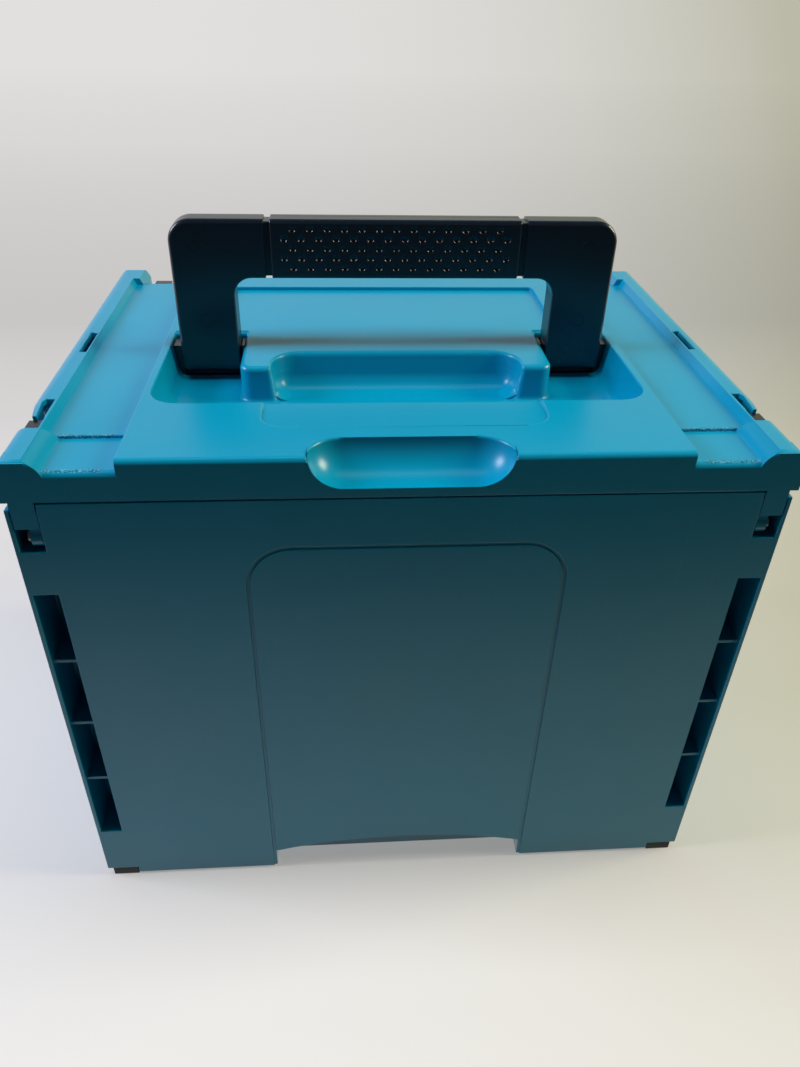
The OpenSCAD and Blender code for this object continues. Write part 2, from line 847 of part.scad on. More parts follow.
// Latch lever in the latch frame: plate, pin eye, tongue and hook nose
module latch_lever(tip_z) {
  tx = tongue_x() - tongue_w / 2;
  plate_top = tub_z - lever_drop;
  difference() {
    union() {
      block([-latch_w / 2, latch_out, latch_z], [latch_w / 2, latch_out + latch_t, plate_top]);
      translate([-latch_w / 2, latch_pin_in, latch_z]) rotate([0, 90, 0])
        cylinder(r = latch_eye_r, h = latch_w);
      block([tx, tongue_y0, plate_top - tongue_root], [tx + tongue_w, tongue_y1, tip_z]);
      block([tx, tongue_y0, tip_z - nose_h], [tx + tongue_w, nose_y1, tip_z]);
      for (i = [0 : 2]) {
        z = plate_top - finger_rib_drop - i * finger_rib_pitch;
        block([-latch_w / 2 + finger_rib_in, latch_out - finger_rib_t, z],
          [latch_w / 2 - finger_rib_in, latch_out + 1, z + finger_rib_w]);
      }
    }
    translate([-latch_w, latch_pin_in, latch_z]) rotate([0, 90, 0])
      cylinder(r = latch_pin_r + run_fit, h = 2 * latch_w);
  }
}

module latch_pin() {
  x = latch_w / 2 + gap + pin_ear;
  translate([-x, latch_pin_in, latch_z]) rotate([0, 90, 0]) cylinder(r = latch_pin_r, h = 2 * x);
}

module latch_rear(side) {
  color("#202224") on_side(side) at_rear() latch_lever(side_tip_z);
}

module latch_front(side) {
  color("#202224") on_side(side) at_front() latch_lever(front_tip_z);
}

module latch_pin_rear(side) {
  color("silver") on_side(side) at_rear() latch_pin();
}

module latch_pin_front(side) {
  color("silver") on_side(side) at_front() latch_pin();
}

// ---------------------------------------------------------------- feet

// Foot pad with its peg; ahead is 1 at the back and -1 at the front
module foot(side, ahead) {
  color("#26292b") on_side(side)
    translate([body_hw - foot_in - foot_w / 2, ahead * (hd - foot_back - foot_l / 2), 0]) {
      block([-foot_w / 2, -foot_l / 2, 0], [foot_w / 2, foot_l / 2, foot_h]);
      cylinder(r = peg_r, h = foot_h + peg_h);
    }
}

body();
lid();
handle_frame();
grip_back();
grip_front();
handle_bearing(-1);  // handle_bearing_left
handle_bearing(1);  // handle_bearing_right
handle_pin(-1);  // handle_pin_left
handle_pin(1);  // handle_pin_right
bearing_screws();
hinge_pin(-1);  // hinge_pin_left
hinge_pin(1);  // hinge_pin_right
latch_rear(-1);  // latch_rear_left
latch_rear(1);  // latch_rear_right
latch_front(-1);  // latch_front_left
latch_front(1);  // latch_front_right
latch_pin_rear(-1);  // latch_pin_rear_left
latch_pin_rear(1);  // latch_pin_rear_right
latch_pin_front(-1);  // latch_pin_front_left
latch_pin_front(1);  // latch_pin_front_right
foot(-1, 1);  // foot_rear_left
foot(1, 1);  // foot_rear_right
foot(-1, -1);  // foot_front_left
foot(1, -1);  // foot_front_right
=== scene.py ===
"""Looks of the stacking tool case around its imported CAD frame. Shapes are given in millimetres and skin()
turns them to metres; materials, lamps and camera are in metres. Left and right are as seen from the front."""
import bpy, bmesh, math
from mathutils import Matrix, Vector


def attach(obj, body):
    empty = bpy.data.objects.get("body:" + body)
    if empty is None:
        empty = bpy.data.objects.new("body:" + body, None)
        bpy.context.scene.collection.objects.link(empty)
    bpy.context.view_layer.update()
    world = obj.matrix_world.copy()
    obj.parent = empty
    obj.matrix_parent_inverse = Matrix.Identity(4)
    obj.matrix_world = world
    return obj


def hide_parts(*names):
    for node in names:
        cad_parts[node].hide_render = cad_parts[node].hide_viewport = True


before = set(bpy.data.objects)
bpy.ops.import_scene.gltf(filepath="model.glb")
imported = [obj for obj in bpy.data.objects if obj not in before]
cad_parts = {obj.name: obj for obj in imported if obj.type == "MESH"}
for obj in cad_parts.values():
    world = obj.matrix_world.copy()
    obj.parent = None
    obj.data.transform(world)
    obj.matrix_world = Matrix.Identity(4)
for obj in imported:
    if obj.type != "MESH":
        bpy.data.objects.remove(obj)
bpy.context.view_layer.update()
MM = 0.001

# ---------------------------------------------------------------- sizes in millimetres

TOP = 321.5                             # top of the lid's centre panel and rims
RECESS = 300.0                          # floor of the handle recess
BACK = 148.0                            # back face of the case
BADGE_DEEP, DISH_DEEP = 2.55, 1.05      # the two shallow fields of the lid
SCOOP_HALF, SCOOP_Y, SCOOP_R = 33, 145, 17.6    # scoop: half its straight part, its axis in Y, its radius
RIM_X, RIM_Y, RIM_R = 197.05, -148.05, 7.0      # front end of a rim: outer corner and its radius in plan
RIM_FROM = (175.5, 290)                 # the rims lie from this X outwards and from this Z upwards
STRIP, STRIP_LOW = (147, 175.6), 314    # side strips of the lid, from and to in X, and a level below them
BANDS = ((111.6, 113.7), (143.8, 146.6))        # coarse bands on the strips, from and to in Y

ARM_OUT, ARM_IN = 129.5, 94.5           # outer and inner faces of the handle's arms
BAR_TOP, BAR_HIGH, BAR_HALF = 396.0, 33.0, 9.0  # grip bar: its top, its height and half its thickness
FOLD_Y, FOLD_Z, HEEL_R = -3.0, 313.5, 8.8       # fold axis, and the round heel of the arms about it
FOOT_BACK_R = 6                         # rounding of the arms' feet on the other side of the heel
BAR_LOW_R, BAR_BACK_R, BAR_FRONT_R = 1.4, 2.4, 6    # edge radii of the bar: below, above at back and front
GROOVE_HALF, GROOVE_DEEP = 75.6, 1.4    # sunk part of the bar under the covers: half length and depth
GRIP_HALF, GRIP_END_R, SEAM = 72.0, 0.8, 0.15   # grip covers: half length, end radius, where they part
FIELD_HALF, DIMPLED_HALF = 69, 68       # fine part of a cover, and the part of it that has dimples
PITCH, ROW_PITCH, FIRST_ROW = 9.9, 5.4, 390.9   # dimples: pitch in a row, from row to row, top row's level
BALL, BALL_LIFT = 2, 0.78               # a dimple is a ball's print: its radius, its centre over the face

# Distances at which rings follow a rounding. In turn: below a pocket's rim, over its floor, over the floor
# of the finger bay, from a face of the handle, and from an end of a grip cover
DROPS = (0.003, 0.08, 0.3, 0.65, 1.1, 1.7, 2.4, 3.0)
LIFTS = (5.0, 3.6, 2.5, 1.6, 0.9, 0.4, 0.1, 0.0)
BAY_LIFTS = (9.0, 7.8, 6.8, 5.9, 5.0, 4.2, 3.4, 2.7, 2.1, 1.55, 1.1, 0.75, 0.48, 0.28, 0.15, 0.06, 0.0)
FACE_STEPS = (0, 0.05, 0.2, 0.5, 0.9, 1.5, 2.2, 3.2, 4.4, 6)
END_STEPS = (0, 0.05, 0.2, 0.5, 1.0)

# ---------------------------------------------------------------- shape helpers

def ring(corners, radii, inset=0.0, steps=8):
    """Rounded polygon, counter-clockwise, moved inwards by inset (one value, or one for each edge)."""
    count = len(corners)
    insets = inset if isinstance(inset, (list, tuple)) else [inset] * count
    points = [Vector(c) for c in corners]
    edges = [(points[(i + 1) % count] - points[i]).normalized() for i in range(count)]
    normals = [Vector((-d.y, d.x)) for d in edges]
    out = []
    for i in range(count):
        a, b, na, nb = edges[i - 1], edges[i], normals[i - 1], normals[i]
        cross = a.x * b.y - a.y * b.x
        side = 1 if cross > 0 else -1
        p, q = points[i] + na * insets[i - 1], points[i] + nb * insets[i]
        gap = q - p
        corner = p + a * ((gap.x * b.y - gap.y * b.x) / cross)
        r = max(0.02, radii[i] - side * (insets[i - 1] + insets[i]) / 2)
        turn = math.atan2(cross, a.dot(b))
        reach = r * math.tan(abs(turn) / 2)
        centre = corner - a * reach + na * r * side
        start = corner - a * reach - centre
        for k in range(steps + 1):
            c, s = math.cos(turn * k / steps), math.sin(turn * k / steps)
            out.append(centre + Vector((start.x * c - start.y * s, start.x * s + start.y * c)))
    return out


def arc(r, a0, a1, steps):
    """Points of an arc of radius r about the origin, between two angles in degrees."""
    angles = [math.radians(a0 + (a1 - a0) * k / steps) for k in range(steps + 1)]
    return [(r * math.cos(a), r * math.sin(a)) for a in angles]


def circle(r, steps):
    """Points of a full circle of radius r about the origin, each once."""
    angles = [2 * math.pi * k / steps for k in range(steps)]
    return [(r * math.cos(a), r * math.sin(a)) for a in angles]


def fillet(r, d):
    """How far a rounded edge of radius r stands back at a distance d from its face."""
    return r - math.sqrt(max(0.0, r * r - (r - d) ** 2)) if d < r else 0.0


def add(name, bm):
    """Turns a bmesh into an object of the scene."""
    mesh = bpy.data.meshes.new(name)
    bm.to_mesh(mesh)
    bm.free()
    obj = bpy.data.objects.new(name, mesh)
    bpy.context.scene.collection.objects.link(obj)
    return obj


def skin(name, rings, caps=True):
    """Object through closed rings of equally many points, with its two ends capped."""
    bm = bmesh.new()
    rows = [[bm.verts.new(Vector(p) * MM) for p in r] for r in rings]
    count = len(rows[0])
    for a, b in zip(rows, rows[1:]):
        for i in range(count):
            j = (i + 1) % count
            bm.faces.new((a[i], a[j], b[j], b[i]))
    if caps:
        bm.faces.new(rows[0][::-1])
        bm.faces.new(rows[-1])
    bmesh.ops.remove_doubles(bm, verts=bm.verts, dist=2e-6)
    bmesh.ops.recalc_face_normals(bm, faces=bm.faces)
    return add(name, bm)


def prism(name, plan, z0, z1):
    """Upright solid on a plan outline."""
    return skin(name, [[(x, y, z) for x, y in plan] for z in (z0, z1)])


def pocket(name, edges, z_top, z_floor, lifts=LIFTS):
    """Cutter for a moulded pocket. Each edge gives its first corner as x, y and plan radius at the top and at
    the floor, and the wall that starts there as draft, floor radius and rim radius."""
    depth = z_top - z_floor
    corners = [e[:2] for e in edges]
    levels = [d for d in DROPS if d < depth / 2] + [depth - h for h in lifts if h < depth / 2]

    def at(d, z):
        share = d / depth
        insets = [e[4] * share + fillet(e[5], depth - d) - fillet(e[6], d) for e in edges]
        radii = [e[2] + (e[3] - e[2]) * share for e in edges]
        return [(q.x, q.y, z) for q in ring(corners, radii, insets)]

    return skin(name, [at(0, z_top + 4)] + [at(d, z_top - d) for d in levels])


def capsule(name, half, y, z, r, steps=16, seg=64):
    """Round-ended rod along X."""
    stations = [(-half - r * math.cos(a), r * math.sin(a))
                for a in (math.radians(90 * k / steps) for k in range(steps + 1))]
    stations += [(-x, size) for x, size in reversed(stations)]
    return skin(name, [[(x, y + c, z + s) for c, s in circle(max(size, 0.01), seg)] for x, size in stations])


def torus(x, y, z, r, thick, seg=40, sides=6):
    """Thin moulded ring on a face that looks along Y."""
    rows = []
    for i in range(seg + 1):
        c, s = math.cos(2 * math.pi * i / seg), math.sin(2 * math.pi * i / seg)
        rows.append([(x + (r + out) * c, y + up, z + (r + out) * s) for out, up in circle(thick, sides)])
    return skin("ring", rows, caps=False)


def apply(obj):
    """Replaces obj's mesh by its evaluated mesh and drops its modifiers."""
    bpy.context.view_layer.update()
    graph = bpy.context.evaluated_depsgraph_get()
    mesh = bpy.data.meshes.new_from_object(obj.evaluated_get(graph))
    obj.modifiers.clear()
    obj.data = mesh
    return obj


def cut(obj, *cutters, operation="DIFFERENCE"):
    """Exact boolean of obj with each cutter, applied, and the cutters deleted."""
    for cutter in cutters:
        m = obj.modifiers.new("cut", "BOOLEAN")
        m.operation, m.solver, m.object = operation, "EXACT", cutter
        apply(obj)
        bpy.data.objects.remove(cutter)
    return obj


def join(obj, others):
    """Joins other mesh objects into obj."""
    bm = bmesh.new()
    bm.from_mesh(obj.data)
    for other in others:
        bm.from_mesh(other.data)
        bpy.data.objects.remove(other)
    bm.to_mesh(obj.data)
    bm.free()
    return obj


def copy_of(node, name):
    """Copy of a CAD node, welded and with its flat faces joined, apart from those of the lid's rims."""
    bm = bmesh.new()
    bm.from_mesh(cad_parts[node].data)
    bmesh.ops.remove_doubles(bm, verts=bm.verts, dist=2e-5)
    bmesh.ops.dissolve_degenerate(bm, edges=bm.edges, dist=2e-5)
    x, z = RIM_FROM[0] * MM, RIM_FROM[1] * MM
    rims = {v for v in bm.verts if node == "lid" and abs(v.co.x) > x and v.co.z > z}
    bmesh.ops.dissolve_limit(bm, angle_limit=math.radians(0.4), verts=[v for v in bm.verts if v not in rims],
                             edges=[e for e in bm.edges if rims.isdisjoint(e.verts)])
    return add(name, bm)


def rounded(obj, width, segments=2, angle=32, skip=None, only=None):
    """Rounds the edges of obj that are sharper than angle and that only picks, or all but those that skip
    names. Both are asked about an edge's middle in millimetres, and only about the edge too."""
    bm = bmesh.new()
    bm.from_mesh(obj.data)
    layer = bm.edges.layers.float.get("bevel_weight_edge") or bm.edges.layers.float.new("bevel_weight_edge")
    for e in bm.edges:
        e[layer] = 0.0
        if len(e.link_faces) == 2 and e.calc_face_angle(0) > math.radians(angle):
            mid = (e.verts[0].co + e.verts[1].co) / 2 / MM
            if not (skip and skip(mid)) and (only is None or only(e, mid)):
                e[layer] = 1.0
    bm.to_mesh(obj.data)
    bm.free()
    m = obj.modifiers.new("round", "BEVEL")
    m.width, m.segments, m.limit_method = width * MM, segments, "WEIGHT"
    m.use_clamp_overlap = False
    return apply(obj)


def smooth(obj, angle=38):
    """Smooth shading with flat faces kept flat and edges over the angle left sharp."""
    bm = bmesh.new()
    bm.from_mesh(obj.data)
    for f in bm.faces:
        f.smooth = True
    for e in bm.edges:
        if len(e.link_faces) == 2:
            e.smooth = e.calc_face_angle(0) < math.radians(angle)
    bm.to_mesh(obj.data)
    bm.free()
    m = obj.modifiers.new("flats", "WEIGHTED_NORMAL")
    m.mode, m.weight, m.keep_sharp = "FACE_AREA", 90, True
    return apply(obj)


def dress(obj, material, body, slot, *nodes):
    """Gives a piece its material, the body it rides on and the CAD nodes it replaces. slot is not used."""
    obj.data.materials.clear()
    obj.data.materials.append(material)
    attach(obj, body)
    if nodes:
        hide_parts(*nodes)
    return obj

# ---------------------------------------------------------------- node trees

def srgb(code):
    """Linear colour from a written sRGB code."""
    v = [int(code[i:i + 2], 16) / 255 for i in (1, 3, 5)]
    return [c / 12.92 if c <= 0.04045 else ((c + 0.055) / 1.055) ** 2.4 for c in v] + [1]


class Nodes:
    """Short hand for building the node tree of a material or of the world."""
    def __init__(self, owner, coords="Object"):
        owner.use_nodes = True
        self.owner, self.tree = owner, owner.node_tree
        self.coords = self.add("TexCoord").outputs[coords]

    def fill(self, node, values):
        """Sets or links a node's inputs."""
        for key, value in values.items():
            if isinstance(value, bpy.types.NodeSocket):
                self.tree.links.new(value, node.inputs[key])
            else:
                node.inputs[key].default_value = value
        return node

    def add(self, kind, values=None, **props):
        node = self.tree.nodes.new("ShaderNode" + kind)
        for key, value in props.items():
            setattr(node, key, value)
        return self.fill(node, values or {})

    def noise(self, scale, detail=3, rough=0.5):
        values = {"Vector": self.coords, "Scale": scale, "Detail": detail, "Roughness": rough}
        return self.add("TexNoise", values).outputs["Fac"]

    def remap(self, value, a, b, low, high):
        """Value from the range a to b, clamped, onto the range low to high."""
        values = {"Value": value, "From Min": a, "From Max": b, "To Min": low, "To Max": high}
        return self.add("MapRange", values).outputs["Result"]

    def math(self, operation, a, b=0.0):
        return self.add("Math", {0: a, 1: b}, operation=operation).outputs[0]

    def times(self, a, b):
        return self.math("MULTIPLY", a, b)

    def vector(self, operation, a, b, output=0):
        return self.add("VectorMath", {0: a, 1: b}, operation=operation).outputs[output]

    def mix(self, factor, a, b, blend="MIX"):
        """Mix of two colours."""
        values = {"Factor": factor, "A": a, "B": b}
        return self.add("Mix", values, data_type="RGBA", blend_type=blend).outputs["Result"]

    def blend(self, factor, a, b):
        """Mix of two numbers."""
        return self.add("Mix", {"Factor": factor, "A": a, "B": b}, data_type="FLOAT").outputs["Result"]

    def split(self, vector):
        """The three parts of a vector, as outputs X, Y and Z."""
        return self.add("SeparateXYZ", {"Vector": vector}).outputs

    def between(self, value, low, high):
        """1 where a value lies between two others given in millimetres."""
        over, under = self.math("GREATER_THAN", value, low * MM), self.math("LESS_THAN", value, high * MM)
        return self.times(over, under)

    def surface(self, values, bump=None):
        """Sets the inputs of the main shader, with a bump if one is given, and gives back the material."""
        if bump:
            values["Normal"] = self.add("Bump", bump).outputs["Normal"]
        self.fill(self.tree.nodes["Principled BSDF"], values)
        return self.owner

# ---------------------------------------------------------------- materials

def scratches(n, lines, width=0.12):
    """Fine straight scratches, each from one point to another in millimetres, broken up by noise."""
    total = None
    for start, end in lines:
        start, run = Vector(start) * MM, (Vector(end) - Vector(start)) * MM
        offset = n.vector("SUBTRACT", n.coords, start)
        along = n.remap(n.vector("DOT_PRODUCT", offset, run / run.length_squared, "Value"), 0, 1, 0, 1)
        foot = n.add("VectorMath", {0: run, "Scale": along}, operation="SCALE").outputs[0]
        gap = n.vector("LENGTH", n.vector("SUBTRACT", offset, foot), (0, 0, 0), "Value")
        line = n.remap(gap, 0.3 * width * MM, width * MM, 1, 0)
        total = line if total is None else n.math("MAXIMUM", total, line)
    return n.times(total, n.remap(n.noise(160, 2, 0.6), 0.35, 0.6, 0.1, 1))


def specks(n):
    """Sparse pale specks on faces that look up."""
    cell = n.add("TexVoronoi", {"Vector": n.coords, "Scale": 150.0, "Randomness": 1.0})
    pick = n.split(cell.outputs["Color"])
    patch = n.remap(n.noise(14, 2, 0.5), 0.45, 0.62, 0.985, 0.9)
    size = n.times(n.remap(pick["Y"], 0, 1, 0.015, 0.055), n.math("GREATER_THAN", pick["X"], patch))
    dot = n.math("LESS_THAN", cell.outputs["Distance"], size)
    up = n.split(n.add("NewGeometry").outputs["Normal"])["Z"]
    return n.times(dot, n.remap(up, 0.5, 0.9, 0, 1))


def coarse_bands(n, colour):
    """Dark and pale grit in the coarse bands of the lid's side strips."""
    place = n.split(n.coords)
    rows = [n.between(place["Y"], low, high) for low, high in BANDS]
    where = n.times(n.between(n.math("ABSOLUTE", place["X"]), *STRIP), n.math("MAXIMUM", *rows))
    where = n.times(where, n.math("GREATER_THAN", place["Z"], STRIP_LOW * MM))
    grit = n.noise(1300, 1, 0.5)
    colour = n.mix(n.times(where, n.remap(grit, 0.42, 0.5, 0.75, 0)), colour, srgb("#04506E"))
    return n.mix(n.times(where, n.remap(grit, 0.56, 0.64, 0, 0.6)), colour, srgb("#8FC4D4"))


def moulded(name, base, light, sheen, grain_scale, grain, ior=1.5, marks=None):
    """Moulded plastic: colour that drifts between two, smears between the two roughnesses of sheen, specks
    and fine grain. marks, on the shells alone, are its scratches, and it then has the coarse bands too."""
    n = Nodes(bpy.data.materials.new(name))
    colour = n.mix(n.remap(n.noise(7, 3, 0.6), 0.35, 0.7, 0, 1), srgb(base), srgb(light))
    smear = n.remap(n.noise(18, 3, 0.55), 0.3, 0.7, *sheen)
    if marks:
        line = scratches(n, marks)
        colour = n.mix(n.times(line, 0.35), coarse_bands(n, colour), srgb("#8FB4BE"))
        smear = n.math("ADD", smear, n.times(line, 0.12))
    colour = n.mix(n.times(specks(n), 0.7), colour, srgb("#CFDADA"))
    fine = n.times(n.noise(grain_scale, 2, 0.5), grain)
    return n.surface({"Base Color": colour, "Roughness": smear, "IOR": ior},
                     bump={"Height": fine, "Strength": 0.12, "Distance": 0.0002})


def brushed_steel(name):
    """Steel of the pins and screws."""
    n = Nodes(bpy.data.materials.new(name))
    rough = n.remap(n.noise(300), 0.3, 0.7, 0.22, 0.42)
    return n.surface({"Base Color": srgb("#7D8082"), "Metallic": 1.0, "Roughness": rough})


LID_MARKS = (
    ((-12, 100, 320.4), (-22, 88, 320.4)), ((25, 96, 320.4), (20, 104, 320.4)),
    ((52, 128, TOP), (44, 133, TOP)), ((-60, 126, TOP), (-66, 122, TOP)),
    ((130, 120, TOP), (124, 128, TOP)), ((-45, -10, TOP), (-56, -2, TOP)),
    ((6, 60, RECESS), (-10, 52, RECESS)), ((-30, 50, RECESS), (-36, 62, RECESS)))
BACK_MARKS = (
    ((-146.6, BACK, 284), (-146.2, BACK, 235)), ((-166, BACK, 250), (-168, BACK, 222)),
    ((-120, BACK, 208), (-126, BACK, 196)), ((150, BACK, 92), (143, BACK, 84)),
    ((-88, BACK, 70), (-99, BACK, 64)), ((-130, BACK, 40), (-122, BACK, 22)),
    ((60, 146, 130), (66, 146, 117)), ((-20, 146, 58), (-32, 146, 54)))

# The renderer's denoiser takes a surface another way below a roughness of about 0.274, and leaves marks
# where one map crosses it, so each sheen stays on one side
teal = moulded("teal_plastic", "#0097BE", "#009DC6", (0.277, 0.33), 900, 0.22, marks=LID_MARKS + BACK_MARKS)
black = moulded("black_plastic", "#121E2B", "#15222F", (0.24, 0.272), 1100, 0.2, ior=1.6)
# Dark matte pads under the corners of the body
dark_pad = moulded("foot_rubber", "#1B1E20", "#222629", (0.67, 0.74), 1500, 0.6)
steel = brushed_steel("pin_steel")

# ---------------------------------------------------------------- lid

# As pocket() reads them: x, y, plan radius at top and floor, then draft, floor radius and rim radius
HANDLE_RECESS = (
    (136.1, 86.6, 16, 6.5, 3.2, 4.2, 0.8), (-136.1, 86.6, 16, 6.5, 3.2, 4.2, 0.8),
    (-136.1, -14.45, 0.4, 0.4, 0.0, 0.4, 2.2), (-91.95, -14.45, 0.4, 0.4, 0.1, 2.6, 2.6),
    (-91.95, 40.9, 7, 7, 0.2, 2.6, 3.0), (-74.1, 40.9, 2.5, 2.5, 3.2, 4.2, 1.5),
    (-74.1, 17.9, 17, 8, 3.2, 4.2, 2.6), (74.1, 17.9, 17, 8, 3.2, 4.2, 1.5),
    (74.1, 40.9, 2.5, 2.5, 0.2, 2.6, 3.0), (91.95, 40.9, 7, 7, 0.1, 2.6, 2.6),
    (91.95, -14.45, 0.4, 0.4, 0.0, 0.4, 2.2), (136.1, -14.45, 0.4, 0.4, 3.2, 4.2, 0.8))
BADGE = [(x, y, 3.1, 3, 0.3, 0.6, 0.4)
         for x, y in ((108.6, -23.9), (-108.6, -23.9), (-108.6, -104.6), (108.6, -104.6))]
DISH = [(x, y, r, r, 0.5, 0.5, 1.0)
        for x, y, r in ((75.2, 115.1, 13), (-75.2, 115.1, 13), (-75.2, 80, 1), (75.2, 80, 1))]
BAY = [(x, y, top_r, floor_r, 3.2, 9.0, 0) for x, y, top_r, floor_r in (
    (86, 90, 1, 1), (-86, 90, 1, 1), (-86, 40.5, 1, 1), (-74.12, 35.3, 0.5, 0.5), (-74.12, 17.88, 17, 9.5),
    (74.12, 17.88, 17, 9.5), (74.12, 35.3, 0.5, 0.5), (86, 40.5, 1, 1))]


def rim_corner(side):
    """Takes the square corner off the front end of a rim."""
    turn = [(RIM_X - RIM_R + c, RIM_Y + RIM_R + s) for c, s in arc(RIM_R, 0, -90, 12)]
    plan = [(RIM_X + 3, RIM_Y - 3), (RIM_X + 3, RIM_Y + RIM_R)] + turn + [(RIM_X - RIM_R, RIM_Y - 3)]
    return prism("corner_cutter", [(side * x, y) for x, y in plan], RIM_FROM[1], TOP + 8.5)


def bay_floor():
    """Block in the foot of the finger bay, hollowed by a wide rounding."""
    x, front, back = 74.6, 16.9, 39.9
    plan = [(-x, front), (x, front), (x, back), (-x, back)]
    block = prism("bay_filler", plan, RECESS - 1.5, RECESS + 12)
    return cut(block, pocket("bay_cutter", BAY, TOP, RECESS - 0.09, BAY_LIFTS))


def in_scoop(p):
    """Distance of a point from the axis of the scoop."""
    return math.hypot(max(abs(p.x) - SCOOP_HALF, 0), math.hypot(p.y - SCOOP_Y, p.z - TOP))


def scoop_edge(e, mid):
    """Upper rim of the scoop: an edge on its surface that parts one of its small faces from another face."""
    small = [abs(in_scoop(f.calc_center_median() / MM) - SCOOP_R) < 0.25 and f.calc_area() < 50 * MM * MM
             for f in e.link_faces]
    return abs(in_scoop(mid) - SCOOP_R) < 0.2 and small[0] != small[1] and mid.y < BACK - 0.05


def lid_skip(p):
    """Edges left sharp: the underside, the rims, the lid's corners, and what the cutters rounded."""
    x, y, z = abs(p.x), p.y, p.z
    corners = (x > 140 and y > 141) or (120 < x < 178 and y < -125)
    recess = x < 137 and -16 < y < 116 and 290 < z < 323
    badge = x < 110 and -106 < y < -22 and z > 318
    return z < 298.5 or x > 176 or corners or recess or badge or in_scoop(p) < SCOOP_R + 2.9


def rim_lip(e, mid):
    """Top edges of the slots and the eyes in the rims."""
    flat = all(abs(v.co.z / MM - TOP) < 0.01 for v in e.verts)
    return flat and abs(mid.x) > 183.6 and (abs(mid.y) < 17 or 55 < mid.y < 114)


lid = copy_of("lid", "lid_shell")
cut(lid, pocket("recess_cutter", HANDLE_RECESS, TOP, RECESS - 0.05),
    pocket("badge_cutter", BADGE, TOP, TOP - BADGE_DEEP), pocket("dish_cutter", DISH, TOP, TOP - DISH_DEEP),
    capsule("scoop_cutter", SCOOP_HALF, SCOOP_Y, TOP, SCOOP_R))
cut(lid, rim_corner(1), rim_corner(-1))
cut(lid, bay_floor(), operation="UNION")
rounded(lid, 1.3, 3, 20, only=scoop_edge)
rounded(lid, 0.6, 2, 35, skip=lid_skip)
rounded(lid, 0.45, 2, 35, only=rim_lip)
smooth(lid)
dress(lid, teal, "lid_assembly", "case_plastic", "lid")

# ---------------------------------------------------------------- body

body = smooth(rounded(copy_of("body", "body_shell"), 0.5))
dress(body, teal, "case_body", "case_plastic", "body")

# ---------------------------------------------------------------- handle

def handle_frame():
    """U-shaped frame as a stack of outlines along Y with rounded edges. Its feet are round about the fold
    axis at the front."""
    foot, low = FOLD_Z - HEEL_R, BAR_TOP - BAR_HIGH
    corners = [(-ARM_OUT, foot), (-ARM_IN, foot), (-ARM_IN, low), (ARM_IN, low),
               (ARM_IN, foot), (ARM_OUT, foot), (ARM_OUT, BAR_TOP), (-ARM_OUT, BAR_TOP)]
    radii = [4, 2, 10.5, 10.5, 2, 4, 13, 13]
    at_back = [0, BAR_LOW_R, BAR_LOW_R, BAR_LOW_R, 0, BAR_BACK_R, BAR_BACK_R, BAR_BACK_R]
    at_front = [0, BAR_LOW_R, BAR_LOW_R, BAR_LOW_R, 0, BAR_BACK_R, BAR_FRONT_R, BAR_BACK_R]
    stations = [BAR_HALF - d for d in FACE_STEPS] + [0] + [-BAR_HALF + d for d in reversed(FACE_STEPS)]
    rows = []
    for y in stations:
        insets = [fillet(b, BAR_HALF - y) + fillet(f, BAR_HALF + y) for b, f in zip(at_back, at_front)]
        round_foot = HEEL_R - math.sqrt(max(0, HEEL_R ** 2 - min(0, y - FOLD_Y) ** 2))
        insets[0] = insets[4] = fillet(FOOT_BACK_R, BAR_HALF - y) if y > 0 else round_foot
        rows.append([(q.x, y, q.y) for q in ring(corners, radii, insets, 10)])
    return skin("handle_shell", rows)


def bar(name, half, inset):
    """Length of the grip bar to both sides of the middle, its section moved inwards by inset."""
    corners = [(-BAR_HALF, BAR_TOP - BAR_HIGH), (BAR_HALF, BAR_TOP - BAR_HIGH),
               (BAR_HALF, BAR_TOP), (-BAR_HALF, BAR_TOP)]
    section = ring(corners, [BAR_LOW_R, BAR_LOW_R, BAR_BACK_R, BAR_FRONT_R], inset, 6)
    return skin(name, [[(x, q.x, q.y) for q in section] for x in (-half, half)])


# Centres of the dimples: five rows of 13 and 14 in turn
DIMPLES = [((k - (count - 1) / 2) * PITCH, FIRST_ROW - ROW_PITCH * row)
           for row, count in enumerate((13, 14, 13, 14, 13)) for k in range(count)]


def dimple_depth(x, z):
    """How deep the dimples go into the face of the grip at a point."""
    near = min(((x - dx) ** 2 + (z - dz) ** 2 for dx, dz in DIMPLES
                if abs(x - dx) < BALL and abs(z - dz) < BALL), default=BALL ** 2)
    return max(0.0, math.sqrt(max(0.0, BALL ** 2 - near)) - BALL_LIFT)


